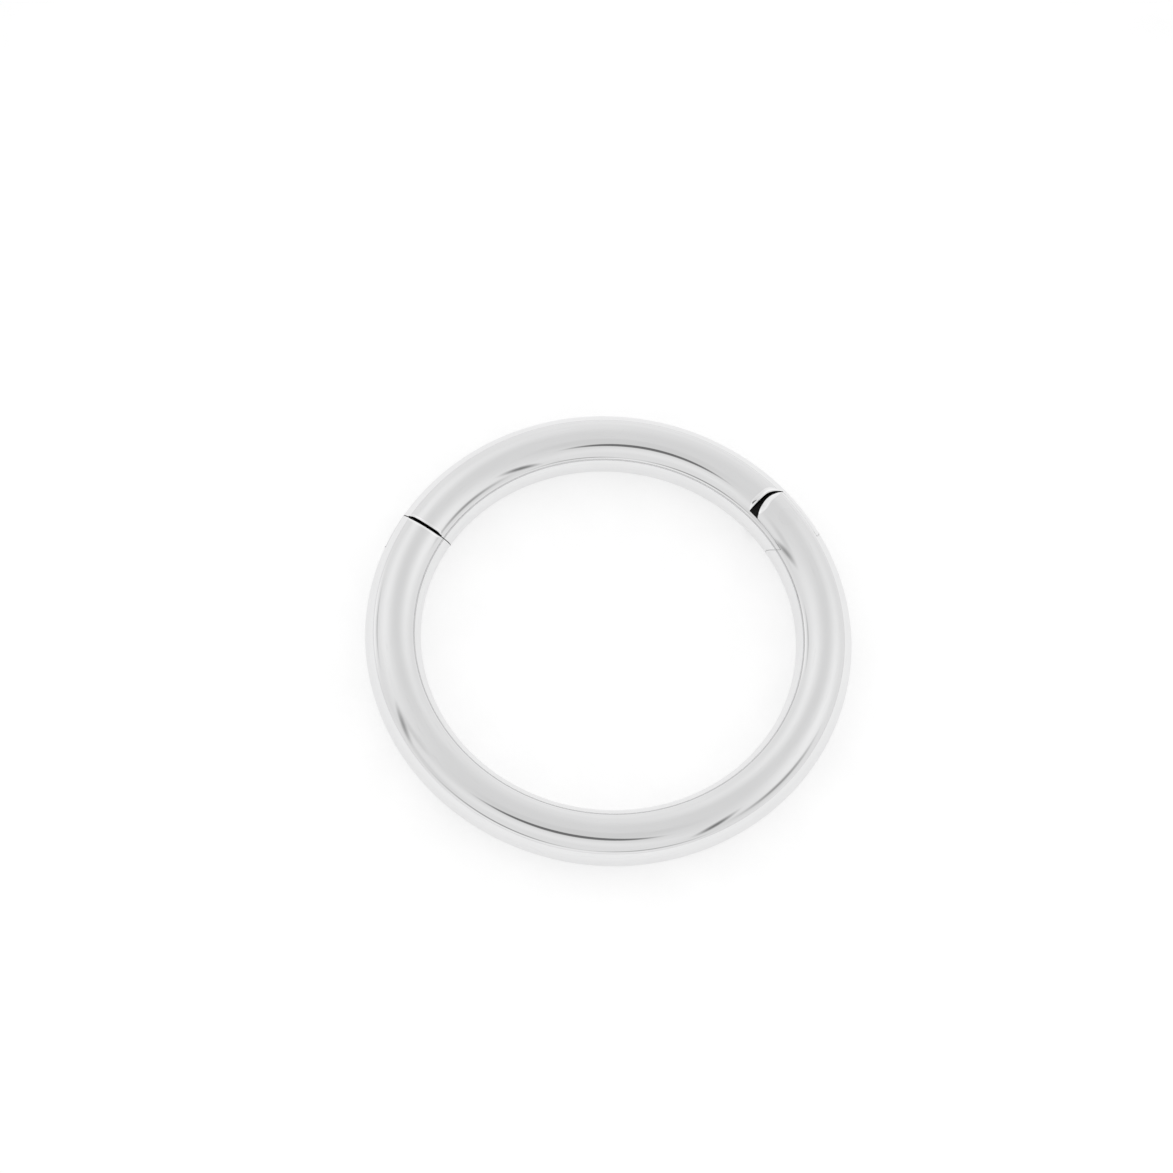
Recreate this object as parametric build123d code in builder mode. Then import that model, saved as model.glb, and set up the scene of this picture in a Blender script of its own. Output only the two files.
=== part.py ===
from build123d import *
import os
from math import asin, cos, degrees, radians, sin, tan

# Hinged segment ring for a piercing, lying on its side. Millimetres, +Z up.
# The origin is the middle of the ring, on the surface that the ring lies on.
# The swinging segment is centred on +Y, with its hinge on the +X side and its clasp on the -X side.

# Driving dimensions of the wire and the ring
wire_diameter = 1.2
inner_diameter = 8.0
segment_sweep = 103.2  # degrees of the circle that the swinging segment takes

# Driving dimensions of the hinge: a fork on the body, a tongue on the segment and a pin
pin_diameter = 0.4
pin_outboard = 0.09  # how far the pin sits outside the wire's centre line
pin_press_clearance = 0.01  # all round, in the two cheeks of the fork
pin_running_clearance = 0.02  # all round, in the tongue
cheek_thickness = 0.17
knuckle_margin = 0.05  # how much rounder than the wire's radius the ends of the cheeks are, about the pin
knuckle_edge_round = 0.08
knuckle_gap = 0.06  # from the cheeks to the shoulders of the segment
shoulder_chamfer = 0.03
tongue_side_clearance = 0.02
tongue_tail_margin = 0.03  # how far the tongue's round tail passes the wire's inner side
tongue_tail_clearance = 0.03

# Driving dimensions of the clasp: a flat tab on the segment and a slot in the body
clasp_gap = 0.08
clasp_slant = 16.0  # degrees that the seam leans, so that the segment laps over the body
clasp_edge_round = 0.05
core_thickness = 0.86  # middle layer of the segment's end, which stands proud of it
core_gap = 0.02  # from that layer to the body
tab_thickness = 0.40
tab_length = 0.80
tab_inboard = 0.15  # how far the tab reaches inside the wire's centre line
tab_tip_round = 0.18
tab_side_clearance = 0.02
tab_floor_clearance = 0.05
tab_end_clearance = 0.10

# Sizes and places that follow from them
wire_radius = wire_diameter / 2
ring_radius = inner_diameter / 2 + wire_radius  # to the wire's centre line
hinge_seam_angle = 90 - segment_sweep / 2
clasp_seam_angle = 90 + segment_sweep / 2
knuckle_radius = wire_radius + knuckle_margin
shoulder_radius = knuckle_radius + knuckle_gap
pin_orbit = ring_radius + pin_outboard
pin_angle = hinge_seam_angle - degrees(asin(shoulder_radius / pin_orbit))
hinge_slot_width = wire_diameter - 2 * cheek_thickness
tongue_thickness = hinge_slot_width - 2 * tongue_side_clearance
tail_radius = wire_radius + pin_outboard + tongue_tail_margin
hinge_slot_radius = tail_radius + tongue_tail_clearance
tail_sweep = degrees(2 * tail_radius / ring_radius)  # spare arc behind the pin, which the tail is cut from
tongue_sweep = degrees(2 * shoulder_radius / ring_radius)  # from the pin to well inside the segment
half_clasp_gap = degrees(clasp_gap / 2 / ring_radius)
core_gap_turn = degrees(core_gap / ring_radius)
clasp_lean = degrees(wire_radius * tan(radians(clasp_slant)) / ring_radius)
clasp_allowance = 2 * clasp_lean + half_clasp_gap  # spare arc that the slanted cut takes off
tab_sweep = degrees(tab_length / ring_radius)
tab_slot_sweep = degrees((tab_length + tab_end_clearance) / ring_radius)
tab_slot_width = tab_thickness + 2 * tab_side_clearance
tab_slot_floor = ring_radius - tab_inboard - tab_floor_clearance
cutter = 2 * wire_diameter  # size of the blocks that cut the wire, well past it on every side


def radial_plane(angle):
    """Upright plane through the ring's axis, at mid height of the wire: +X outward and +Y up."""
    turn = radians(angle)
    outward = (cos(turn), sin(turn), 0)
    return Plane(origin=(0, 0, wire_radius), x_dir=outward, z_dir=(sin(turn), -cos(turn), 0))


def clasp_plane(angle):
    """Plane of the clasp's cut, on the wire's centre line: it leans by the slant and faces the segment."""
    turn = radians(angle)
    lean = radians(clasp_slant)
    outward = (cos(turn), sin(turn), 0)
    middle = (ring_radius * cos(turn), ring_radius * sin(turn), wire_radius)
    facing = (sin(turn) * cos(lean), -cos(turn) * cos(lean), sin(lean))
    return Plane(origin=middle, x_dir=outward, z_dir=facing)


# The hinge's own plane, at mid height of the wire: the origin is the pin, +X runs outward along the
# hinge seam and +Y crosses the seam into the segment.
seam_turn = radians(hinge_seam_angle)
pin_turn = radians(pin_angle)
hinge_plane = Plane(
    origin=(pin_orbit * cos(pin_turn), pin_orbit * sin(pin_turn), wire_radius),
    x_dir=(cos(seam_turn), sin(seam_turn), 0),
    z_dir=(0, 0, 1),
)


# Ring body: the long arc, from the clasp round to the pin
body_start = clasp_seam_angle - clasp_allowance
with BuildPart() as ring_body:
    with BuildSketch(radial_plane(body_start)):
        with Locations((ring_radius, 0)):
            Circle(wire_radius)
    revolve(axis=Axis.Z, revolution_arc=360 + hinge_seam_angle - body_start)

    # Clasp end, cut on the slant half a gap back from the seam
    with BuildSketch(clasp_plane(clasp_seam_angle + half_clasp_gap)):
        Rectangle(cutter, cutter)
    extrude(amount=wire_diameter, mode=Mode.SUBTRACT)
    clasp_end = ring_body.faces().filter_by(GeomType.PLANE).sort_by(Axis.X)[0]
    fillet(clasp_end.edges(), clasp_edge_round)

    # Slot for the tab, open at the end and along the outside of the ring
    with BuildSketch(radial_plane(body_start)):
        with Locations((tab_slot_floor + cutter / 2, 0)):
            Rectangle(cutter, tab_slot_width)
    revolve(axis=Axis.Z, revolution_arc=clasp_allowance + tab_slot_sweep, mode=Mode.SUBTRACT)

    # Hinge end, rounded about the pin, then slotted for the tongue, which leaves the two cheeks
    with BuildSketch(hinge_plane):
        with Locations((0, cutter / 2)):
            Rectangle(2 * cutter, cutter)
        Circle(knuckle_radius, mode=Mode.SUBTRACT)
    extrude(amount=wire_diameter, both=True, mode=Mode.SUBTRACT)
    with BuildSketch(hinge_plane):
        Circle(hinge_slot_radius)
    extrude(amount=hinge_slot_width / 2, both=True, mode=Mode.SUBTRACT)
    knuckle_ends = ring_body.faces().filter_by(GeomType.CYLINDER).sort_by(SortBy.AREA)[:2]
    fillet(knuckle_ends.edges().filter_by(GeomType.CIRCLE, reverse=True), knuckle_edge_round)

    # Bore for the pin, through both cheeks
    with BuildSketch(hinge_plane):
        Circle(pin_diameter / 2 + pin_press_clearance)
    extrude(amount=wire_diameter, both=True, mode=Mode.SUBTRACT)

ring_body.part.label = "ring_body"


# Hinged segment: the short arc, with a tongue at the hinge and a tab at the clasp
with BuildPart() as hinged_segment:
    with BuildSketch(radial_plane(pin_angle)):
        with Locations((ring_radius, 0)):
            Circle(wire_radius)
    revolve(axis=Axis.Z, revolution_arc=clasp_seam_angle + clasp_allowance - pin_angle)

    # Clasp end, cut on the slant half a gap short of the seam
    with BuildSketch(clasp_plane(clasp_seam_angle - half_clasp_gap)):
        Rectangle(cutter, cutter)
    extrude(amount=-wire_diameter, mode=Mode.SUBTRACT)
    clasp_end = hinged_segment.faces().filter_by(GeomType.PLANE).sort_by(Axis.X)[0]
    fillet(clasp_end.edges(), clasp_edge_round)

    # Middle layer of the clasp end, which runs on and all but meets the body
    with BuildSketch(radial_plane(clasp_seam_angle - clasp_allowance)):
        with Locations((ring_radius, 0)):
            Circle(wire_radius)
            Rectangle(cutter, core_thickness, mode=Mode.INTERSECT)
    revolve(axis=Axis.Z, revolution_arc=2 * clasp_allowance)
    with BuildSketch(clasp_plane(clasp_seam_angle + half_clasp_gap - core_gap_turn)):
        Rectangle(cutter, cutter)
    extrude(amount=-wire_diameter, mode=Mode.SUBTRACT)

    # Hinge end, its shoulders hollow about the pin outside and straight along the seam inside
    with BuildSketch(hinge_plane):
        Circle(shoulder_radius)
        with Locations((-cutter / 2, shoulder_radius - cutter / 2)):
            Rectangle(cutter, cutter)
        with Locations((0, -cutter / 2)):
            Rectangle(2 * cutter, cutter)
    extrude(amount=wire_diameter, both=True, mode=Mode.SUBTRACT)
    hollow_shoulder = hinged_segment.faces().filter_by(GeomType.CYLINDER)
    straight_shoulder = hinged_segment.faces().filter_by(GeomType.PLANE).sort_by(Axis.X)[-1:]
    shoulder_edges = (hollow_shoulder + straight_shoulder).edges().filter_by(GeomType.LINE, reverse=True)
    chamfer(shoulder_edges, shoulder_chamfer)

    # Tongue, flush with the wire inside and outside, with a round tail about the pin
    with BuildSketch(radial_plane(pin_angle - tail_sweep)):
        with Locations((ring_radius, 0)):
            Circle(wire_radius)
            Rectangle(cutter, tongue_thickness, mode=Mode.INTERSECT)
    revolve(axis=Axis.Z, revolution_arc=tail_sweep + tongue_sweep)
    with BuildSketch(hinge_plane):
        with Locations((0, -cutter / 2)):
            Rectangle(2 * cutter, cutter)
        Circle(tail_radius, mode=Mode.SUBTRACT)
    extrude(amount=wire_diameter, both=True, mode=Mode.SUBTRACT)

    # Running bore for the pin, through the tongue
    with BuildSketch(hinge_plane):
        Circle(pin_diameter / 2 + pin_running_clearance)
    extrude(amount=wire_diameter, both=True, mode=Mode.SUBTRACT)

    # Tab of the clasp, flush with the outside of the ring, its leading corner rounded
    with BuildSketch(radial_plane(clasp_seam_angle - clasp_allowance)):
        with Locations((ring_radius, 0)):
            Circle(wire_radius)
        with Locations((ring_radius - tab_inboard + wire_radius, 0)):
            Rectangle(wire_diameter, tab_thickness, mode=Mode.INTERSECT)
    revolve(axis=Axis.Z, revolution_arc=clasp_allowance + tab_sweep)
    tab_tip = radial_plane(clasp_seam_angle + tab_sweep)
    tab_corner = tab_tip.from_local_coords((ring_radius - tab_inboard, 0, 0))
    leading_edge = hinged_segment.edges().filter_by(Axis.Z).sort_by_distance(tab_corner)[0]
    fillet(leading_edge, tab_tip_round)

hinged_segment.part.label = "hinged_segment"


# Hinge pin: a plain round pin, its ends ground flush with the wire
with BuildPart() as hinge_pin:
    with BuildSketch(radial_plane(pin_angle - tail_sweep)):
        with Locations((ring_radius, 0)):
            Circle(wire_radius)
    revolve(axis=Axis.Z, revolution_arc=2 * tail_sweep)
    with BuildSketch(hinge_plane):
        Circle(pin_diameter / 2)
    extrude(amount=wire_diameter, both=True, mode=Mode.INTERSECT)

hinge_pin.part.label = "hinge_pin"


os.makedirs("parts", exist_ok=True)
export_step(ring_body.part, "parts/ring_body.step")
export_step(hinged_segment.part, "parts/hinged_segment.step")
export_step(hinge_pin.part, "parts/hinge_pin.step")

pin_place = hinge_plane.origin
print(f"pin at {pin_place.X:.4f} {pin_place.Y:.4f}, {pin_angle:.3f} degrees round the ring")
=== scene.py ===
from math import asin, ceil, cos, pi, radians, sin, sqrt, tan

import bmesh
import bpy
import numpy as np
from mathutils import Euler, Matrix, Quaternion, Vector
from mathutils.geometry import tessellate_polygon


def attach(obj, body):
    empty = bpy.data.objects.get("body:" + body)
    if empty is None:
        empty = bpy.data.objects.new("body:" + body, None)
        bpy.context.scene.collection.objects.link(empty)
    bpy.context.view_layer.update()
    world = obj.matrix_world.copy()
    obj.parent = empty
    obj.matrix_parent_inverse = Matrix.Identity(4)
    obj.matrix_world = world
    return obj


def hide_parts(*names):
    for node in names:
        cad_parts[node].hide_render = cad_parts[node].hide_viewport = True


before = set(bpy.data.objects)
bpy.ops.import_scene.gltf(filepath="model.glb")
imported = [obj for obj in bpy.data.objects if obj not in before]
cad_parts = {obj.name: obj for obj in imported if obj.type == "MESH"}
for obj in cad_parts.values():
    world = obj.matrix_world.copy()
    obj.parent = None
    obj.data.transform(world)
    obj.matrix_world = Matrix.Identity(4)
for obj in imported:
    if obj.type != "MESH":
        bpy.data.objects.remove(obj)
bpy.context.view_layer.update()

# Hinged segment ring for a piercing, lying on its side on a pale surface, in a soft white tent.
# Metres, +Z up. The ring's own sizes are in millimetres, as a jeweller gives them, and its angles in degrees
# round the ring from +X. The segment is centred on +Y, its hinge on the +X side, its clasp on the -X side.

MM = 0.001

# Wire and seams
wire_diameter = 1.2
inner_diameter = 8.0
segment_sweep = 103.2
seam_roll = 0.055  # how far the polish rolls the wire's surface off towards a seam
seam_round = 0.035  # how deep that goes into the seam

# Hinge: a fork of two cheeks on the body, a tongue on the segment and a pin
bore_radius = 0.21
pin_fit = 0.0003  # hairline left between the pin's ends and their bores
tongue_bore_radius = 0.22
cheek_thickness = 0.17
knuckle_margin = 0.05
knuckle_facet = 0.17  # width of the facet polished on the knuckle, at its inner end
facet_outer_share = 0.4  # share of that width at its outer end
facet_slope = tan(radians(30))
facet_depth_share = 0.6  # share of the cheek's thickness that the facet may take
facet_round = 0.03
facet_round_wall = 0.10  # thickness of the cheek that takes the whole of that rounding
cheek_run_out = 0.08  # along a cheek's edge, from the slot's back to where its rounding is whole
shoulder_roll = 0.11
shoulder_round = 0.06
shoulder_depth_share = 0.5  # share of the shoulder's height that its rounding may take
knuckle_gap = 0.06
knuckle_gap_outside = 0.02  # what it narrows to on the wire's outer side
knuckle_gap_reach = (0.1, 0.5)  # outside the wire's middle line, where it starts and ends to narrow
tongue_side_clearance = 0.005
pin_outboard = 0.09
tongue_tail_margin = 0.03
tongue_tail_clearance = 0.005
hairline_round = 0.004  # edges of the hairline gaps

# Clasp: a flat tab on the segment and a slot in the body, both on the wire's outer side
clasp_gap = 0.06
clasp_slant = 16.0
core_thickness = 0.86  # middle layer of the segment's end, which all but meets the body
core_gap = 0.02
tab_thickness = 0.40
tab_length = 0.80
tab_inboard = 0.15
tab_tip_round = 0.18
tab_side_clearance = 0.02
tab_floor_clearance = 0.05
tab_end_clearance = 0.02
seam_run_out = radians(7)  # round the wire, from a rounded edge's ends to where it is whole
hairline_share = 0.15  # share of the rounding that is left along the hairline
hairline_blend = 0.05  # height over which it comes back, past the middle layer
layer_share = 0.6  # share of the way to the hairline that the open seam's edge goes, next to the layer
layer_blend = 0.09  # height over which it goes there

# Sizes and places that follow from them
wire_radius = wire_diameter / 2
ring_radius = inner_diameter / 2 + wire_radius
hinge_seam = radians(90 - segment_sweep / 2)
clasp_seam = radians(90 + segment_sweep / 2)
lean = tan(radians(clasp_slant))
knuckle_radius = wire_radius + knuckle_margin
shoulder_radius = knuckle_radius + knuckle_gap
pin_orbit = ring_radius + pin_outboard
pin_angle = hinge_seam - asin(shoulder_radius / pin_orbit)
pin_place = np.array([pin_orbit * cos(pin_angle), pin_orbit * sin(pin_angle)])
seam_reach = pin_orbit * cos(hinge_seam - pin_angle)
fork_half = wire_radius - cheek_thickness
fork_outer = ring_radius + sqrt(wire_radius**2 - fork_half**2)  # where the cheeks' flat faces meet the wire
fork_inner = 2 * ring_radius - fork_outer
tongue_half = fork_half - tongue_side_clearance
tail_radius = wire_radius + pin_outboard + tongue_tail_margin
fork_radius = tail_radius + tongue_tail_clearance
tab_half = tab_thickness / 2
tab_slot_half = tab_half + tab_side_clearance
tab_floor = ring_radius - tab_inboard
tab_slot_floor = tab_floor - tab_floor_clearance
tab_tip = clasp_seam + tab_length / ring_radius
tab_slot_end = clasp_seam + (tab_length + tab_end_clearance) / ring_radius
half_clasp_gap = clasp_gap / 2 / ring_radius
body_clasp = clasp_seam + half_clasp_gap
segment_clasp = clasp_seam - half_clasp_gap
core_half = core_thickness / 2
core_clasp = body_clasp - core_gap / ring_radius
layer_advance = layer_share * (core_clasp - segment_clasp)

# Fineness of the meshes, as steps of angle, rows of faces or counts of points
around_step = radians(3.6)  # round the wire
along_step = radians(1.2)  # round the ring
round_rows = 6  # across a rounded edge
corner_rows = 4  # across each corner of a cheek's edge
cheek_rings = 10  # from the pin's bore to a cheek's edge
pin_rings = 8  # from the pin's axis to its edge
circle_points = 65  # round a bore, the last on the first
cheek_outer_points = 25
cheek_inner_points = 21
knuckle_points = 33
tail_points = 31
tab_points = 13  # along the sides of the tab and of its slot, and round the tab's corner

# Differences too small to count
SLACK = 1e-9  # between two angles or two heights
REPEAT = 1e-6  # between two points of a loop, or past a whole count of steps
WELD = 1e-5  # between two points that are one in the mesh
NOTHING = 1e-12  # from no length or no area

# The wire's upper and lower side, each with the row there of a grid whose rows go up
SIDES = ((1, -1), (-1, 0))

# Finish of a surface, as its faces keep it; rounded edges are kept apart for their painted highlight
POLISHED = 0
RAW = 1
EDGE_HIGHLIGHT = -1


def blend_in(value):
    """Smooth step from 0 to 1."""
    value = np.clip(value, 0, 1)
    return value * value * (3 - 2 * value)


def stations(marks, step):
    """Values from the first mark to the last, every mark among them, at most a step apart."""
    found = [marks[0]]
    for low, high in zip(marks, marks[1:]):
        count = max(1, ceil((high - low) / step - REPEAT))
        found += [low + (high - low) * k / count for k in range(1, count + 1)]
    return np.array(found)


def wire_stations(heights):
    """Angles round the wire from -pi to pi, 0 outside and pi inside, the given heights among them."""
    quarter = stations([0] + [asin(h / wire_radius) for h in heights] + [pi / 2], around_step)
    half = np.concatenate([quarter, pi - quarter[-2::-1]])
    return np.concatenate([-half[:0:-1], half])


def on_torus(turn, around):
    """Points and normals of the wire's surface."""
    turn, around = np.broadcast_arrays(turn, around)
    reach = ring_radius + wire_radius * np.cos(around)
    height = wire_radius * np.sin(around)
    points = np.stack([reach * np.cos(turn), reach * np.sin(turn), wire_radius + height], -1)
    normals = np.stack(
        [np.cos(around) * np.cos(turn), np.cos(around) * np.sin(turn), np.sin(around)], -1
    )
    return points, normals


def over_plan(plan, side):
    """Points and normals of the wire's surface over (side 1) or under (side -1) points of the plan."""
    reach = np.hypot(plan[..., 0], plan[..., 1])
    around = side * np.arccos(np.clip((reach - ring_radius) / wire_radius, -1, 1))
    return on_torus(np.arctan2(plan[..., 1], plan[..., 0]), around)


def turn_at_pin(reach, radius, side):
    """Turn where a circle about the ring's axis meets one about the pin, past it (1) or short of it (-1)."""
    cosine = (reach**2 + pin_orbit**2 - radius**2) / (2 * reach * pin_orbit)
    return pin_angle + side * np.arccos(np.clip(cosine, -1, 1))


def turn_at_clasp(seam, reach, height):
    """Turn at which the clasp's slanted plane cuts a circle about the ring's axis."""
    return seam + np.arcsin(lean * height / reach)


def pin_polar(reach, radius, side):
    """Direction from the pin to where a circle about the ring's axis meets one about the pin."""
    from_pin = flat(turn_at_pin(reach, radius, side), reach) - pin_place
    return np.arctan2(from_pin[..., 1], from_pin[..., 0])


def flat(turn, reach):
    """Points of the plan."""
    turn, reach = np.broadcast_arrays(turn, reach)
    return np.stack([reach * np.cos(turn), reach * np.sin(turn)], -1)


def at_height(plan, height):
    """Points of the plan lifted to a height over the wire's middle."""
    x, y, height = np.broadcast_arrays(plan[..., 0], plan[..., 1], height)
    return np.stack([x, y, wire_radius + height], -1)


def level(directions):
    """Directions of the plan as level ones in space."""
    return np.concatenate([directions, np.zeros_like(directions[..., :1])], -1)


def heading(angle):
    """Directions of the plan."""
    return np.stack([np.cos(angle), np.sin(angle)], -1)


def outward(turn):
    """Level directions away from the ring's axis."""
    return level(heading(turn))


def unit(vectors):
    length = np.linalg.norm(vectors, axis=-1, keepdims=True)
    return vectors / np.maximum(length, NOTHING)


def grid_normals(points, like):
    """Normals of a grid from its own slopes, turned to the same side as the normals given."""
    down = np.gradient(points, axis=0)
    across = np.gradient(points, axis=1)
    found = unit(np.cross(down, across))
    side = np.sign((found * like).sum(-1, keepdims=True))
    no_slope = np.linalg.norm(found, axis=-1, keepdims=True) < 0.5  # else it is 1
    return np.where((side == 0) | no_slope, like, found * side)


class Skin:
    """Gathers surfaces, each with its own normals, and welds them into one closed mesh."""

    def __init__(self):
        self.points = []
        self.normals = []
        self.faces = []
        self.finish = []
        self.count = 0

    def keep(self, points, normals, faces, finish):
        """Adds faces, each with its front turned to its normals' side unless it has no area."""
        self.points.append(points)
        self.normals.append(unit(normals))
        self.finish += [float(finish)] * len(faces)
        for face in faces:
            a, b, c = points[face[0]], points[face[1]], points[face[-1]]
            if len(face) == 4:
                front = np.cross(points[face[2]] - a, points[face[3]] - b)
            else:
                front = np.cross(b - a, c - a)
            if front @ normals[list(face)].mean(0) < -NOTHING:
                face = face[::-1]
            self.faces.append([self.count + i for i in face])
        self.count += len(points)

    def grid(self, points, normals, finish=POLISHED):
        """A surface given as rows and columns of points."""
        rows, columns = points.shape[:2]
        normals = np.broadcast_to(normals, points.shape)
        corner = np.arange(rows * columns).reshape(rows, columns)
        quads = np.stack([corner[:-1, :-1], corner[:-1, 1:], corner[1:, 1:], corner[1:, :-1]], -1)
        self.keep(points.reshape(-1, 3), normals.reshape(-1, 3), quads.reshape(-1, 4).tolist(), finish)

    def tube(self, around, start, end):
        """The wire's surface between two turns, for angles round the wire. Returns its rows of points."""
        start, end = (np.broadcast_to(turn, around.shape) for turn in (start, end))
        columns = max(1, ceil(np.max(end - start) / along_step))
        turn = np.linspace(start, end, columns + 1, axis=1)
        points, normals = on_torus(turn, around[:, None])
        self.grid(points, normals)
        return points

    def fill(self, loops, normal):
        """A flat, raw face inside one loop of points, less any further loops, that faces along the normal."""
        loops = [tidy_loop(loop) for loop in loops]
        points = np.concatenate(loops)
        triangles = np.array(tessellate_polygon([[Vector(p) for p in loop] for loop in loops]))
        a, b, c = points[triangles.T]
        if np.cross(b - a, c - a).sum(0) @ normal < 0:
            triangles = triangles[:, ::-1]
        self.keep(points, np.broadcast_to(normal, points.shape), triangles.tolist(), RAW)

    def rounded(self, first, corner, last, first_normals, last_normals):
        """A rounded edge along rows of points: from one surface, over its old corner, to the other."""
        share = np.linspace(0, 1, round_rows + 1)[:, None, None]
        points = (1 - share) ** 2 * first + 2 * share * (1 - share) * corner + share**2 * last
        like = unit((1 - share) * first_normals + share * last_normals)
        normals = grid_normals(points, like)
        normals[0], normals[-1] = first_normals, last_normals
        # Its faces get the painted highlight of rounded edges
        self.grid(points, normals, EDGE_HIGHLIGHT)

    def piece(self, name, body, node, material):
        """The welded mesh as an object that stands for a node of the frame."""
        mesh = bpy.data.meshes.new(name)
        mesh.from_pydata(np.concatenate(self.points) * MM, [], self.faces)
        corners = np.concatenate(self.normals)[[i for face in self.faces for i in face]]
        kept = mesh.attributes.new("corner_normal", "FLOAT_VECTOR", "CORNER")
        kept.data.foreach_set("vector", corners.astype(np.float32).ravel())
        mesh.attributes.new("finish", "FLOAT", "FACE").data.foreach_set("value", self.finish)
        work = bmesh.new()
        work.from_mesh(mesh)
        bmesh.ops.remove_doubles(work, verts=work.verts, dist=WELD * MM)
        work.to_mesh(mesh)
        work.free()
        corners = np.zeros(len(mesh.loops) * 3, np.float32)
        mesh.attributes["corner_normal"].data.foreach_get("vector", corners)
        mesh.attributes.remove(mesh.attributes["corner_normal"])
        mesh.polygons.foreach_set("use_smooth", [True] * len(mesh.polygons))
        mesh.normals_split_custom_set(corners.reshape(-1, 3))
        unroll(mesh, node)
        mesh.materials.append(material)
        made = bpy.data.objects.new(name, mesh)
        bpy.context.scene.collection.objects.link(made)
        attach(made, body)
        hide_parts(node)


def tidy_loop(loop):
    """A loop of points without repeats."""
    kept = [loop[0]]
    for point in loop[1:]:
        if np.abs(point - kept[-1]).max() > REPEAT:
            kept.append(point)
    if np.abs(kept[0] - kept[-1]).max() < REPEAT:
        kept.pop()
    return np.array(kept)


def unroll(mesh, node):
    """Keeps, for each point, its place on the wire as if it were pulled straight, in millimetres."""
    points = np.zeros(len(mesh.vertices) * 3)
    mesh.vertices.foreach_get("co", points)
    x, y, z = points.reshape(-1, 3).T / MM
    # The turn starts where the piece has no metal: on +Y for the body, on -Y for the segment
    turn = np.arctan2(x, -y) if node != "hinged_segment" else np.arctan2(-x, y)
    place = np.stack([turn * ring_radius, np.hypot(x, y) - ring_radius, z - wire_radius], -1)
    kept = mesh.attributes.new("unrolled", "FLOAT_VECTOR", "POINT")
    kept.data.foreach_set("vector", place.astype(np.float32).ravel())


def softened(controls, sizes):
    """Rows of points along a run of corners, each rounded off by its size or as far as its sides allow."""
    side_share = 0.45  # of the shorter side, so that two roundings on it keep apart
    share = np.linspace(0, 1, corner_rows + 1)[:, None, None]
    run = [controls[:1]]
    for before, corner, after, size in zip(controls, controls[1:], controls[2:], sizes):
        sides = np.stack([before - corner, after - corner])
        length = np.linalg.norm(sides, axis=-1)
        start, end = corner + unit(sides) * np.minimum(size, side_share * length.min(0))[:, None]
        run.append((1 - share) ** 2 * start + 2 * share * (1 - share) * corner + share**2 * end)
    return np.concatenate([*run, controls[-1:]])


def clasp_section(seam, x, z):
    """Points of the clasp's slanted plane, given in the wire's cross-section: x outward, z up."""
    x, z = np.broadcast_arrays(x, z)
    return at_height(flat(turn_at_clasp(seam, ring_radius + x, z), ring_radius + x), z)


def clasp_normal(seam, side):
    """Normal of the clasp's slanted plane, towards the segment (1) or the body (-1)."""
    return side * unit(np.array([sin(seam), -cos(seam), lean]))


def split_wire(around, half_width):
    """The angles round the wire within a half width of its outer line, and the others in one run."""
    corner = asin(half_width / wire_radius)
    near = around[np.abs(around) <= corner + SLACK]
    rest = np.concatenate([around[around >= corner - SLACK], around[around <= SLACK - corner][1:] + 2 * pi])
    return near, rest


def inner_side_of(rest, half_width):
    """The angles of such a run within a half width of the wire's inner line."""
    return rest[np.abs(rest - pi) <= asin(half_width / wire_radius) + SLACK]


def rolled_end(skin, seam, side, around, roll, depth):
    """The wire's rounded edge at the clasp. Returns the turns where the wire ends and the flat end's rim."""
    section = wire_radius * np.stack([np.cos(around), np.sin(around)])
    reach = ring_radius + section[0]
    turn = turn_at_clasp(seam, reach, section[1])
    end = turn + side * roll / reach
    first, first_normals = on_torus(end, around)
    corner = on_torus(turn, around)[0]
    rim = clasp_section(seam, *(section * (1 - depth / wire_radius)))
    facing = clasp_normal(np.mean(seam), side)
    skin.rounded(first, corner, rim, first_normals, np.broadcast_to(facing, rim.shape))
    return end, rim


def run_out(around):
    """Share of a rounded edge along a run of angles round the wire: none at its ends, all a little way in."""
    return blend_in(np.minimum(around - around[0], around[-1] - around) / seam_run_out)


def pin_arcs(rows, radius, share):
    """Directions of the plan from the pin, for shares of the arc across the wire at each height in it."""
    half_chord = np.sqrt(wire_radius**2 - rows**2)
    outer = pin_polar(ring_radius + half_chord, radius, -1)
    inner = pin_polar(ring_radius - half_chord, radius, -1)
    inner = outer + (inner - outer + pi) % (2 * pi) - pi
    return heading(outer[:, None] + (inner - outer)[:, None] * share)


def slotted_end(skin, around):
    """The body's end at the clasp and the slot in it, which has a round floor, flat sides and a back."""
    near, rest = split_wire(around, tab_slot_half)
    rows = wire_radius * np.sin(near)
    open_gap = blend_in((wire_radius * np.abs(np.sin(rest)) - core_half) / hairline_blend)
    share = run_out(rest) * (hairline_share + (1 - hairline_share) * open_gap)
    start, rim = rolled_end(skin, body_clasp, 1, rest, share * seam_roll, share * seam_round)
    mouth = clasp_section(body_clasp, tab_slot_floor - ring_radius, rows)
    skin.fill([np.concatenate([rim, mouth])], clasp_normal(body_clasp, 1))
    sides = skin.tube(rest, start, tab_slot_end)
    floor_start = turn_at_clasp(body_clasp, tab_slot_floor, rows)
    floor_turn = np.linspace(floor_start, tab_slot_end, tab_points, axis=1)
    floor = at_height(flat(floor_turn, tab_slot_floor), rows[:, None])
    skin.grid(floor, outward(floor_turn), finish=RAW)
    back = on_torus(tab_slot_end, near)[0]
    skin.fill([np.concatenate([floor[:, -1], back[::-1]])], outward(tab_slot_end - pi / 2))
    for side, k in SIDES:
        skin.fill([np.concatenate([floor[k], sides[-1 - k][::-1]])], np.array([0, 0, -side]))


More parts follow.
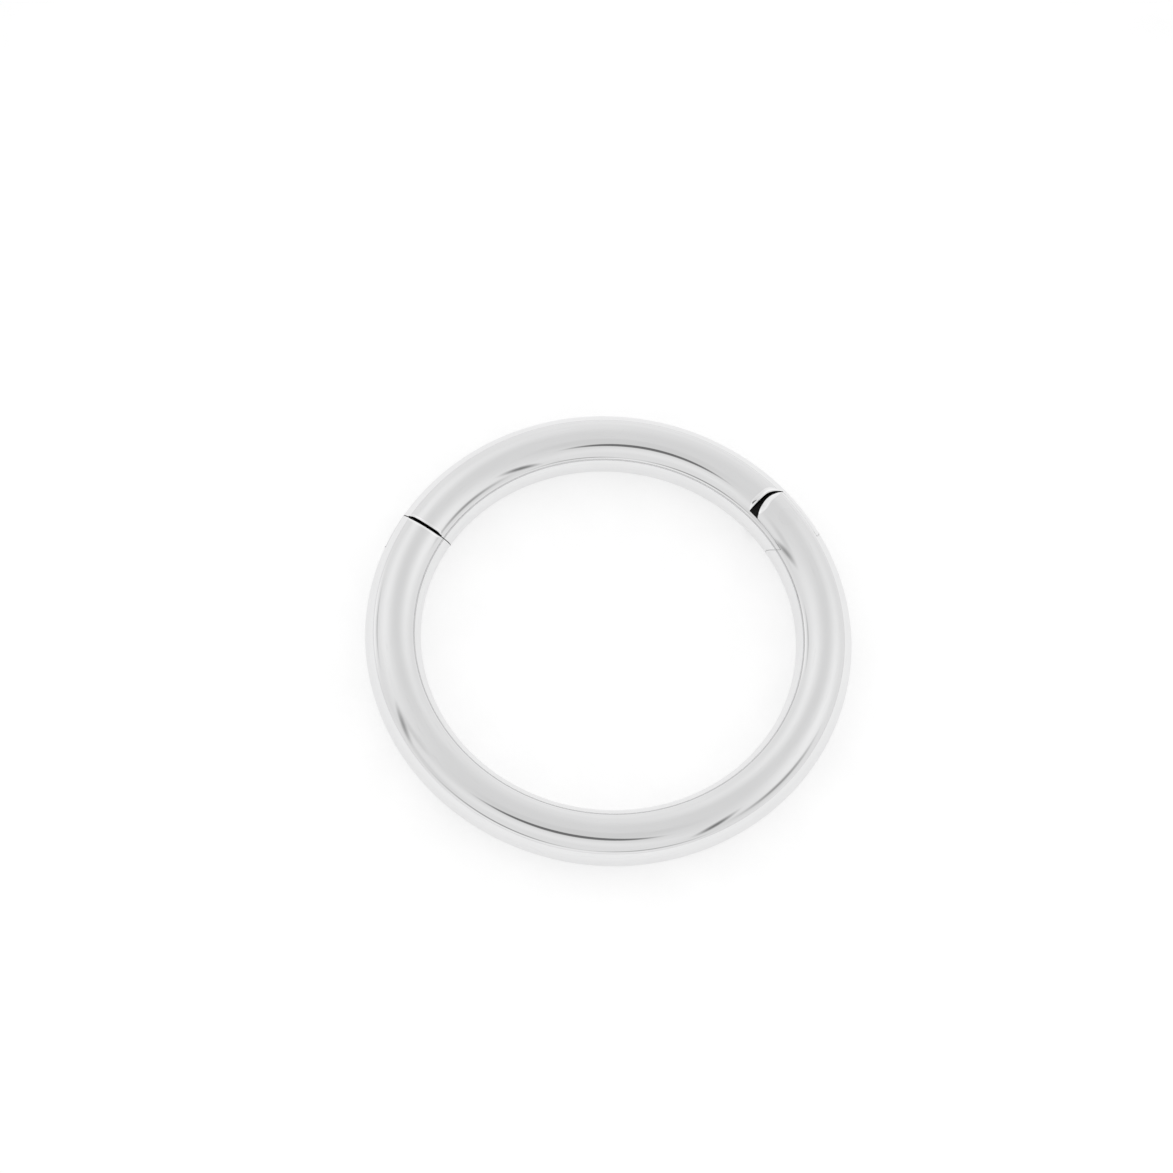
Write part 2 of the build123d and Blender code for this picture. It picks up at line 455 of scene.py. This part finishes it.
def fork(skin, around):
    """The body's end at the hinge: the back wall of the fork's slot, then the two cheeks."""
    slot_rows = split_wire(around, fork_half)[0]
    rows = wire_radius * np.sin(slot_rows)
    over = around[(around >= slot_rows[-1] - SLACK) & (around <= pi - slot_rows[-1] + SLACK)]
    reach = ring_radius + wire_radius * np.cos(over)
    back_plan = flat(turn_at_pin(reach, fork_radius, -1), reach)
    back_angle = np.unwrap(np.arctan2(*(back_plan - pin_place).T[::-1]))
    share = (back_angle - back_angle[0]) / (back_angle[-1] - back_angle[0])
    direction = pin_arcs(rows, fork_radius, share)
    wall = at_height(pin_place + fork_radius * direction, rows[:, None])
    skin.grid(wall, -level(direction), finish=RAW)
    for side in (1, -1):
        cheek(skin, side, back_plan)


def cheek_outline():
    """A cheek's outline in the plan, out from the slot's back, round the knuckle and back on the inside."""
    outer_ends = turn_at_pin(fork_outer, fork_radius, -1), turn_at_pin(fork_outer, knuckle_radius, 1)
    inner_ends = turn_at_pin(fork_inner, knuckle_radius, 1), turn_at_pin(fork_inner, fork_radius, -1)
    outer_side = flat(np.linspace(*outer_ends, cheek_outer_points), fork_outer)
    inner_side = flat(np.linspace(*inner_ends, cheek_inner_points), fork_inner)
    first, last = (pin_polar(reach, knuckle_radius, 1) for reach in (fork_outer, fork_inner))
    knuckle = np.linspace(first, first + (last - first) % (2 * pi), knuckle_points)[1:-1]
    return np.concatenate([outer_side, pin_place + knuckle_radius * heading(knuckle), inner_side])


def cheek_finish(front, wall):
    """The facet's width and depth, and the size of the rounding over and under it, along a cheek's outline.

    All are whole on the knuckle, as far as the cheek's wall there allows, and nothing at the slot's back.
    """
    length = np.concatenate([[0], np.cumsum(np.linalg.norm(np.diff(front, axis=0), axis=1))])
    share = blend_in(np.minimum(length, length[-1] - length) / cheek_run_out)
    reach = np.linalg.norm(front, axis=-1)
    inner_share = np.clip((fork_outer - reach) / (fork_outer - fork_inner), 0, 1)
    facet_share = facet_outer_share + (1 - facet_outer_share) * inner_share
    facet = share * knuckle_facet * blend_in(wall / cheek_thickness) * facet_share
    drop = np.minimum(facet * facet_slope, facet_depth_share * wall)
    top_round = share * (hairline_round + facet_round * blend_in(wall / facet_round_wall))
    return facet, drop, top_round, share * hairline_round


def towards_pin(plan, distance):
    """Points of the plan moved towards the pin."""
    from_pin = plan - pin_place
    radius = np.linalg.norm(from_pin, axis=-1, keepdims=True)
    return pin_place + from_pin * (1 - distance[:, None] / radius)


def cheek(skin, side, back_plan):
    """One cheek of the fork, upper (1) or lower (-1): rings of faces about the pin, out to its round end."""
    front = cheek_outline()
    corner_top = over_plan(front, side)[0]
    wall = np.abs(corner_top[:, 2] - wire_radius) - fork_half
    facet, drop, top_round, under_round = cheek_finish(front, wall)
    top_plan = towards_pin(front, facet + top_round)
    inward = np.array([0, 0, -side])

    # The wire's surface over the cheek, from the pin's bore to its edge
    rim = np.concatenate([top_plan, back_plan[-2:0:-1], top_plan[:1]])
    from_pin = rim - pin_place
    radius = np.linalg.norm(from_pin, axis=-1)
    ring = bore_radius + (radius - bore_radius) * np.linspace(0, 1, cheek_rings + 1)[:, None]
    ring_plan = pin_place + unit(from_pin) * ring[..., None]
    skin.grid(*over_plan(ring_plan, side))

    # Its end: a polished facet, the wall and the edge under it, with rounded corners between them
    top, normals = over_plan(top_plan, side)
    facet_top = over_plan(towards_pin(front, facet), side)[0]
    facet_foot = corner_top + drop[:, None] * inward
    corner_under = at_height(front, side * fork_half)
    under = at_height(towards_pin(front, under_round), side * fork_half)
    controls = np.stack([top, facet_top, facet_foot, corner_under, under])
    points = softened(controls, (top_round, top_round, under_round))
    share = np.linspace(0, 1, len(points))[:, None, None]
    away = level(unit(front - pin_place))
    like = unit((1 - share) ** 2 * normals + 2 * share * (1 - share) * away + share**2 * inward)
    end_normals = grid_normals(points, like)
    end_normals[0], end_normals[-1] = normals, inward
    # These faces get the painted highlight of rounded edges
    skin.grid(points, end_normals, EDGE_HIGHLIGHT)

    # Its flat inner face and the bore
    bore = pin_place + bore_radius * unit(from_pin)
    bore_edge = at_height(bore, side * fork_half)
    back = at_height(back_plan[-2:0:-1], side * fork_half)
    skin.fill([np.concatenate([under, back]), bore_edge[:-1]], inward)
    bore_top = over_plan(bore, side)[0]
    skin.grid(np.stack([bore_top, bore_edge]), level(-unit(from_pin))[None], finish=RAW)


def make_body(material):
    """The long arc of the wire, with the fork of the hinge and the slot of the clasp."""
    skin = Skin()
    around = wire_stations([tab_slot_half, fork_half])
    reach = ring_radius + wire_radius * np.cos(around)
    skin.tube(around, tab_slot_end - 2 * pi, turn_at_pin(reach, fork_radius, -1))
    slotted_end(skin, around)
    fork(skin, around)
    skin.piece("ring_body_wire", "body", "ring_body", material)


def shoulder_turn(around):
    """Turn at which the segment's shoulder cuts the wire: hollow about the pin outside, straight inside."""
    reach = ring_radius + wire_radius * np.cos(around)
    start, end = knuckle_gap_reach
    narrowed = (knuckle_gap - knuckle_gap_outside) * blend_in((reach - ring_radius - start) / (end - start))
    return np.where(reach > seam_reach, turn_at_pin(reach, shoulder_radius - narrowed, 1), hinge_seam)


def tail_turn(around):
    """Turn at which the tongue's round tail cuts the wire."""
    return turn_at_pin(ring_radius + wire_radius * np.cos(around), tail_radius, -1)


def tongue(skin, around):
    """The tongue's round sides, which run on from the wire, its round tail and its running bore.

    Returns, for its upper and then its lower side, the rim of that side from the shoulder inside the ring
    to the shoulder outside, and the edge of the bore.
    """
    near, rest = split_wire(around, tongue_half)
    within = inner_side_of(rest, tongue_half)
    rows = wire_radius * np.sin(near)
    outer_side = skin.tube(near, tail_turn(near), shoulder_turn(near))
    inner_side = skin.tube(within, tail_turn(within), shoulder_turn(within))
    direction = pin_arcs(rows, tail_radius, np.linspace(0, 1, tail_points))
    tail = at_height(pin_place + tail_radius * direction, rows[:, None])
    skin.grid(tail, level(direction), finish=RAW)
    bore_turn = np.linspace(0, 2 * pi, circle_points)
    bore = pin_place + tongue_bore_radius * heading(bore_turn)
    bore_edges = [at_height(bore, side * tongue_half) for side in (-1, 1)]
    skin.grid(np.stack(bore_edges), -outward(bore_turn)[None], finish=RAW)
    edges = []
    for _, k in SIDES:
        rim = np.concatenate([inner_side[-1 - k][::-1], tail[k][::-1], outer_side[k]])
        edges.append((rim, bore_edges[k][:-1]))
    return edges


def shoulders(skin, around, tongue_edges):
    """The segment's two shoulders, each with a rounded edge, and the tongue's flat sides from their feet on.

    Returns the turns at which the wire starts.
    """
    height = wire_radius * np.sin(around)
    reach = ring_radius + wire_radius * np.cos(around)
    depth = np.minimum(shoulder_round, shoulder_depth_share * np.clip(np.abs(height) - tongue_half, 0, None))
    shoulder = shoulder_turn(around)
    start = shoulder + depth * shoulder_roll / shoulder_round / reach
    straight = outward(hinge_seam - pi / 2)
    for (side, _), (rim, bore) in zip(SIDES, tongue_edges):
        part = side * height >= tongue_half - SLACK
        first, first_normals = on_torus(start[part], around[part])
        corner = on_torus(shoulder[part], around[part])[0]
        last = corner - np.array([0, 0, side]) * depth[part][:, None]
        plan = flat(shoulder[part], reach[part])
        facing = np.where((reach[part] > seam_reach)[:, None], level(unit(pin_place - plan)), straight)
        skin.rounded(first, corner, last, first_normals, facing)
        foot = at_height(plan, side * tongue_half)
        skin.grid(np.stack([last, foot]), facing[None], finish=RAW)
        skin.fill([np.concatenate([foot[::side], rim]), bore], np.array([0, 0, side]))
    return start


def lapping_end(skin, around):
    """The segment's rolled edges and flat ends at the clasp, over and under its middle layer.

    Next to the layer the edges reach on towards its end. Returns the turns at which the wire ends.
    """
    height = wire_radius * np.sin(around)
    past_layer = (np.abs(height) - core_half) / layer_blend
    seam = segment_clasp + layer_advance * (1 - blend_in(past_layer))
    end = turn_at_clasp(seam, ring_radius + wire_radius * np.cos(around), height)
    for side in (1, -1):
        part = side * height >= core_half - SLACK
        share = run_out(around[part])
        end[part], rim = rolled_end(skin, seam[part], -1, around[part], share * seam_roll, share * seam_round)
        skin.fill([rim], clasp_normal(segment_clasp, -1))
    return end


def middle_layer(skin, around):
    """The segment's middle layer, which runs on from the wire at the clasp.

    Returns the outer and the inner rim of its end, which the tab stands on.
    """
    near, rest = split_wire(around, core_half)
    sides = []
    for part in (near, inner_side_of(rest, core_half)):
        section = ring_radius + wire_radius * np.cos(part), wire_radius * np.sin(part)
        start = turn_at_clasp(segment_clasp + layer_advance, *section)
        sides.append(skin.tube(part, start, turn_at_clasp(core_clasp, *section)))
    outer_side, inner_side = sides
    for side, k in SIDES:
        skin.fill([np.concatenate([outer_side[k], inner_side[-1 - k][::-1]])], np.array([0, 0, side]))
    return outer_side[:, -1], inner_side[:, -1]


def tab(skin, around, outer_rim, inner_rim):
    """The tab and the middle layer's flat end round its root.

    Its outer side runs on from the wire, its inner side is round and its leading corner is rounded.
    """
    near = split_wire(around, tab_half)[0]
    rows = wire_radius * np.sin(near)
    start = turn_at_clasp(core_clasp, ring_radius + wire_radius * np.cos(near), rows)
    outer_side = skin.tube(near, start, tab_tip)
    root = clasp_section(core_clasp, tab_floor - ring_radius, rows)
    beside = (len(outer_rim) - len(near)) // 2
    face = [inner_rim, outer_rim[: beside + 1], root, outer_rim[-1 - beside :]]
    skin.fill([np.concatenate(face)], clasp_normal(core_clasp, -1))
    corner_reach = tab_floor + tab_tip_round
    corner_turn = tab_tip - asin(tab_tip_round / corner_reach)
    wall_turn = np.linspace(turn_at_clasp(core_clasp, tab_floor, rows), corner_turn, tab_points, axis=1)
    wall = at_height(flat(wall_turn, tab_floor), rows[:, None])
    skin.grid(wall, -outward(wall_turn), finish=RAW)
    bend = np.linspace(corner_turn + pi, tab_tip + pi / 2, tab_points)
    bend_plan = flat(corner_turn, corner_reach) + tab_tip_round * heading(bend)
    skin.grid(at_height(bend_plan[None], rows[:, None]), outward(bend)[None], finish=RAW)
    tip = [at_height(bend_plan[-1], rows), outer_side[::-1, -1]]
    skin.fill([np.concatenate(tip)], outward(tab_tip + pi / 2))
    for side, k in SIDES:
        loop = [wall[k], at_height(bend_plan, side * tab_half), outer_side[k][::-1]]
        skin.fill([np.concatenate(loop)], np.array([0, 0, side]))


def make_segment(material):
    """The short arc of the wire that swings, with the tongue of the hinge and the tab of the clasp."""
    skin = Skin()
    around = wire_stations([tab_half, tongue_half, core_half])
    start = shoulders(skin, around, tongue(skin, around))
    skin.tube(around, start, lapping_end(skin, around))
    tab(skin, around, *middle_layer(skin, around))
    skin.piece("hinged_segment_wire", "segment", "hinged_segment", material)


def make_pin(material):
    """The pin, its ends ground flush with the wire."""
    skin = Skin()
    direction = heading(np.linspace(0, 2 * pi, circle_points))
    rings = pin_place + direction * np.linspace(0, bore_radius - pin_fit, pin_rings + 1)[:, None, None]
    ends = []
    for side in (1, -1):
        points, normals = over_plan(rings, side)
        skin.grid(points, normals)
        ends.append(points[-1])
    skin.grid(np.stack(ends), level(direction)[None], finish=RAW)
    skin.piece("hinge_pin_ground", "body", "hinge_pin", material)


# Camera, at the photograph's angle to the ring, far enough back for its nearly parallel lines
view_azimuth = radians(-13.1)
view_elevation = radians(65.6)
view_roll = radians(8.0)
view_distance = 0.36
frame_pixels = 1173  # width and height of the photograph's frame
ring_pixel = (608.5, 640.1)  # middle of the ring in it, from its top left corner
pixel = MM / 46.9
frame_width = frame_pixels * pixel
ring_in_frame = ((ring_pixel[0] - frame_pixels / 2) * pixel, (frame_pixels / 2 - ring_pixel[1]) * pixel)
back = Vector((
    sin(view_azimuth) * cos(view_elevation),
    -cos(view_azimuth) * cos(view_elevation),
    sin(view_elevation),
))
camera = bpy.data.objects.new("camera", bpy.data.cameras.new("camera"))
bpy.context.scene.collection.objects.link(camera)
turned = (-back).to_track_quat("-Z", "Y") @ Quaternion((0, 0, 1), view_roll)
aim = Vector((0, 0, wire_radius * MM)) - turned @ Vector((*ring_in_frame, 0))
camera.rotation_mode = "QUATERNION"
camera.rotation_quaternion = turned
camera.location = aim + back * view_distance
camera.data.sensor_width = 36
camera.data.lens = camera.data.sensor_width * view_distance / frame_width
camera.data.clip_start = 0.001
camera.data.clip_end = 10
bpy.context.scene.camera = camera
bpy.context.scene.view_settings.view_transform = "Standard"


FAR = 1000  # size that a mapping gives to an axis that is to count for next to nothing


class Nodes:
    """Short forms for building one tree of shader nodes."""

    def __init__(self, tree):
        self.tree = tree

    def add(self, kind, settings=None, **sockets):
        """A node with its settings, and with its sockets set or linked by name, underscores for spaces."""
        node = self.tree.nodes.new("ShaderNode" + kind)
        for name, value in (settings or {}).items():
            setattr(node, name, value)
        for name, value in sockets.items():
            self.set(node.inputs[name.replace("_", " ")], value)
        return node

    def set(self, socket, value):
        if isinstance(value, bpy.types.NodeSocket):
            self.tree.links.new(value, socket)
        else:
            socket.default_value = value

    def math(self, operation, *values):
        node = self.add("Math", {"operation": operation})
        for socket, value in zip(node.inputs, values):
            self.set(socket, value)
        return node.outputs[0]

    def ramp(self, value, low, high, to_low=0.0, to_high=1.0, soft=True):
        """The value mapped from one range to another, and held at its ends."""
        settings = {"interpolation_type": "SMOOTHSTEP" if soft else "LINEAR"}
        node = self.add("MapRange", settings, Value=value)
        for name, number in (("From Min", low), ("From Max", high), ("To Min", to_low), ("To Max", to_high)):
            self.set(node.inputs[name], number)
        return node.outputs["Result"]

    def mix(self, share, first, last):
        """The first value where the share is 0, the last where it is 1, and a blend between."""
        node = self.add("Mix")
        for socket, value in zip((node.inputs[0], node.inputs[2], node.inputs[3]), (share, first, last)):
            self.set(socket, value)
        return node.outputs[0]

    def mapped(self, vector, **sockets):
        """The vector moved, turned and sized down by a Mapping node's sockets."""
        return self.add("Mapping", {"vector_type": "TEXTURE"}, Vector=vector, **sockets).outputs[0]

    def noise(self, vector, scale, detail=2.0, roughness=0.5, stretch=(1, 1, 1)):
        """Noise from 0 to 1, with the vector's own unit divided by the scale, stretched along its axes."""
        sized = self.mapped(vector, Scale=stretch)
        made = self.add("TexNoise", Vector=sized, Scale=scale, Detail=detail, Roughness=roughness)
        return made.outputs["Fac"]


# Depths of the steel's bumps, in metres
ripple_depth = 1.2e-6
line_depth = 3e-8
grain_depth = 2e-6

# Ranges of noise: where most of it lies, and over which worn lines, worn places and dull smears come in
NOISE = (0.3, 0.7)
worn_lines = (0.52, 0.72)
worn_places = (0.35, 0.65)
dull_smears = (0.3, 0.75)

# Tones and roughness of the steel, each pair from the least to the most that the noise gives
satin_tone = (0.46, 0.56)
# Near black of the painted shade in the seams
seam_shade_tone = (0.008, 0.02)
satin_roughness = (0.36, 0.52)
edge_highlight_tone = 0.11  # painted highlight added to the tone of rounded edges
wear_tone = -0.03
wear_roughness = 0.05
smear_tone = (0.985, 1.01)  # times the steel's own grey
smear_roughness = 0.025
blue_share = 1.004
edge_tone = 0.98  # at a grazing angle

# Where the painted shade in the seams starts and is whole, in millimetres over or under the wire's middle and
# from the pin
seam_shade_height = (0.40, 0.42)
seam_shade_radius = (0.57, 0.63)


def painted_seam_shade(nodes):
    """Share of painted shade, near black, over and under the middle layer and the tongue and outside the
    cheeks.
    """
    in_metres = nodes.add("TexCoord").outputs["Object"]
    pin_middle = (*pin_place * MM, wire_radius * MM)
    in_mm = nodes.mapped(in_metres, Location=pin_middle, Scale=(MM, MM, MM))
    in_plan = nodes.mapped(in_mm, Scale=(1, 1, FAR))
    off_middle = nodes.math("ABSOLUTE", nodes.add("SeparateXYZ", Vector=in_mm).outputs["Z"])
    from_pin = nodes.add("VectorMath", {"operation": "LENGTH"}, Vector=in_plan).outputs["Value"]
    over_layer = nodes.ramp(off_middle, *seam_shade_height)
    return nodes.math("MULTIPLY", over_layer, nodes.ramp(from_pin, *seam_shade_radius))


def steel(name, grey, smooth):
    """Mirror-polished steel, satin where it was only cut, and painted near black as painted shade where a
    seam lays such a cut face bare.
    """
    made = bpy.data.materials.new(name)
    made.use_nodes = True
    nodes = Nodes(made.node_tree)
    place = nodes.add("Attribute", {"attribute_name": "unrolled"}).outputs["Vector"]
    finish = nodes.add("Attribute", {"attribute_name": "finish"}).outputs["Fac"]
    raw = nodes.ramp(finish, POLISHED, RAW, soft=False)
    edge_highlight = nodes.ramp(finish, EDGE_HIGHLIGHT, POLISHED, 1, 0, soft=False)

    # Patterns over the wire pulled straight, whose first axis runs along it
    hairlines = nodes.noise(place, 30, 3, 0.6, (14, 1, 1))
    swirls = nodes.noise(place, 22, 2, 0.5, (1, 5, 5))
    smears = nodes.noise(place, 1.3, 3, 0.55, (2.5, 1, 1))
    grain = nodes.noise(place, 45, 3, 0.6)

    # Wear follows the fine lines along the wire
    wear = nodes.math("MULTIPLY", nodes.ramp(hairlines, *worn_lines), nodes.ramp(smears, *worn_places))
    polished = nodes.ramp(smears, *NOISE, *(grey * share for share in smear_tone))
    polished = nodes.math("MULTIPLY_ADD", wear, wear_tone, polished)
    # Rounded edges are painted lighter: painted highlight
    polished = nodes.math("MULTIPLY_ADD", edge_highlight, edge_highlight_tone, polished)
    satin, dark = (nodes.ramp(grain, *NOISE, *tones) for tones in (satin_tone, seam_shade_tone))
    # Cut faces that a seam lays bare are painted near black: painted shade in the seams
    tone = nodes.mix(raw, polished, nodes.mix(painted_seam_shade(nodes), satin, dark))
    blue = nodes.math("MULTIPLY", tone, blue_share)
    colour = nodes.add("CombineColor", Red=tone, Green=tone, Blue=blue).outputs[0]

    gloss = nodes.ramp(smears, *dull_smears, smooth, smooth + smear_roughness)
    gloss = nodes.math("MULTIPLY_ADD", wear, wear_roughness, gloss)
    roughness = nodes.mix(raw, gloss, nodes.ramp(grain, *NOISE, *satin_roughness))

    ripple = nodes.noise(place, 0.9, 1, 0.4, (1.6, 1, 1))
    waves = nodes.add("Bump", Strength=1.0, Distance=ripple_depth, Height=ripple).outputs[0]
    lines = nodes.math("ADD", hairlines, swirls)
    scratched = nodes.add("Bump", Strength=1.0, Distance=line_depth, Height=lines, Normal=waves).outputs[0]
    pits = nodes.math("MULTIPLY", raw, grain_depth)
    pitted = nodes.add("Bump", Strength=1.0, Distance=pits, Height=grain, Normal=scratched).outputs[0]

    shader = made.node_tree.nodes["Principled BSDF"]
    shader.inputs["Metallic"].default_value = 1
    shader.inputs["Specular Tint"].default_value = (edge_tone, edge_tone, edge_tone, 1)
    nodes.set(shader.inputs["Base Color"], colour)
    nodes.set(shader.inputs["Roughness"], roughness)
    nodes.set(shader.inputs["Normal"], pitted)
    return made


make_body(steel("polished_steel_body", 0.79, 0.028))
make_segment(steel("polished_steel_segment", 0.795, 0.028))
make_pin(steel("ground_steel_pin", 0.78, 0.04))

# The tent's cloth, a little less light overhead, from one sine of the elevation to another
wall_light = 0.905
ceiling_light = 0.83
ceiling_height = (0.55, 0.95)

# Soft cards in the tent, lighter or darker than its cloth. Each is an oval, at an azimuth from the camera's
# side towards the picture's right and an elevation, leaning by its tilt, with half sizes, all in degrees.
# Its softness is the share of it that fades, and its light is added to the cloth's.
CARDS = (
    # azimuth, elevation, tilt, half width, half height, softness, light
    (105, 42, 0, 52, 34, 1.0, 0.16),  # lamp on the right
    (-128, 48, 0, 50, 32, 1.0, 0.16),  # lamp on the left
    (-15, 44, 0, 66, 18, 0.9, 0.085),  # lamp over the lens's side
    (180, 16, 0, 50, 20, 1.0, 0.075),  # lamp low at the back
    (-108, 4, 0, 22, 10, 0.8, 0.16),  # white card low on the left
    (-10, 1, 0, 72, 9, 0.6, 0.105),  # white card low on the lens's side
    (-30, 10.5, 0, 40, 3.9, 0.85, -0.55),  # seam of the cloth over that card
    (24, 9.5, 0, 30, 3, 0.8, -0.44),  # the same seam, further right
    (-108, 17, 0, 15, 3.5, 0.9, -0.32),  # the same seam, on the left
    (76, 22.5, 0, 24, 8.5, 0.9, -0.45),  # shadow behind the right fold
    (64, 20, 0, 36, 14, 0.9, -0.085),  # shaded cloth, low on the right
    (-64, 17, 0, 28, 11, 0.9, -0.095),  # shaded cloth, low on the left
    (-80, 45, 0, 10, 15, 0.9, -0.13),  # shaded cloth over the left fold
    (0, 77, 0, 26, 15, 0.5, -0.053),  # shaded cloth overhead
    (-6, 63, -3, 26, 6.2, 0.45, -0.64),  # slot that the lens looks through
    (50, 31, -34, 5.4, 20, 0.9, -0.66),  # fold in the cloth on the right
    (-78, 29, 28, 5.4, 20.5, 0.95, -0.50),  # fold in the cloth on the left
)


def tent():
    """Soft white tent round the ring, with its cards."""
    world = bpy.data.worlds.new("tent")
    world.use_nodes = True
    nodes = Nodes(world.node_tree)
    direction = nodes.add("TexCoord").outputs["Generated"]
    height = nodes.add("SeparateXYZ", Vector=direction).outputs["Z"]
    light = nodes.ramp(height, *ceiling_height, wall_light, ceiling_light)
    for azimuth, elevation, tilt, half_width, half_height, softness, amount in CARDS:
        # The card is turned to +Y and its half sizes are made 1. Its like below the floor isn't seen.
        turned_to = Euler((radians(elevation), radians(tilt), pi + view_azimuth + radians(azimuth)), "YXZ")
        turn = turned_to.to_matrix().to_euler()
        size = (sin(radians(half_width)), FAR, sin(radians(half_height)))
        seen = nodes.mapped(direction, Rotation=turn, Scale=size)
        inside = nodes.add("TexGradient", {"gradient_type": "SPHERICAL"}, Vector=seen).outputs["Fac"]
        light = nodes.math("ADD", light, nodes.ramp(inside, 0, softness, 0, amount))
    nodes.set(world.node_tree.nodes["Background"].inputs["Strength"], light)
    world.node_tree.nodes["Background"].inputs["Color"].default_value = (1, 1, 1, 1)
    bpy.context.scene.world = world


# The surface, in metres, and its glow, which falls from the middle outwards between two radii
surface_width = 1.2
surface_tone = (0.56, 0.58)
surface_roughness = (0.75, 0.85)
glow_radius = (0.013, 0.040)
glow = (0.535, 0.31)


def lay_surface():
    """Pale, faintly mottled surface that the ring lies on, lit a little from within as a light table is."""
    half = surface_width / 2
    corners = [(-half, -half, 0), (half, -half, 0), (half, half, 0), (-half, half, 0)]
    mesh = bpy.data.meshes.new("surface")
    mesh.from_pydata(corners, [], [(0, 1, 2, 3)])
    surface = bpy.data.objects.new("surface", mesh)
    bpy.context.scene.collection.objects.link(surface)
    made = bpy.data.materials.new("pale_surface")
    made.use_nodes = True
    nodes = Nodes(made.node_tree)
    place = nodes.add("TexCoord").outputs["Object"]
    mottle = nodes.noise(place, 900, 3, 0.5)
    tone = nodes.ramp(mottle, *NOISE, *surface_tone)
    colour = nodes.add("CombineColor", Red=tone, Green=tone, Blue=tone).outputs[0]
    shader = made.node_tree.nodes["Principled BSDF"]
    nodes.set(shader.inputs["Base Color"], colour)
    nodes.set(shader.inputs["Roughness"], nodes.ramp(mottle, *NOISE, *surface_roughness))
    shader.inputs["Specular IOR Level"].default_value = 0.2
    shader.inputs["Emission Color"].default_value = (1, 1, 1, 1)
    middle = nodes.add("VectorMath", {"operation": "LENGTH"}, Vector=place).outputs["Value"]
    nodes.set(shader.inputs["Emission Strength"], nodes.ramp(middle, *glow_radius, *glow))
    mesh.materials.append(made)


tent()
lay_surface()
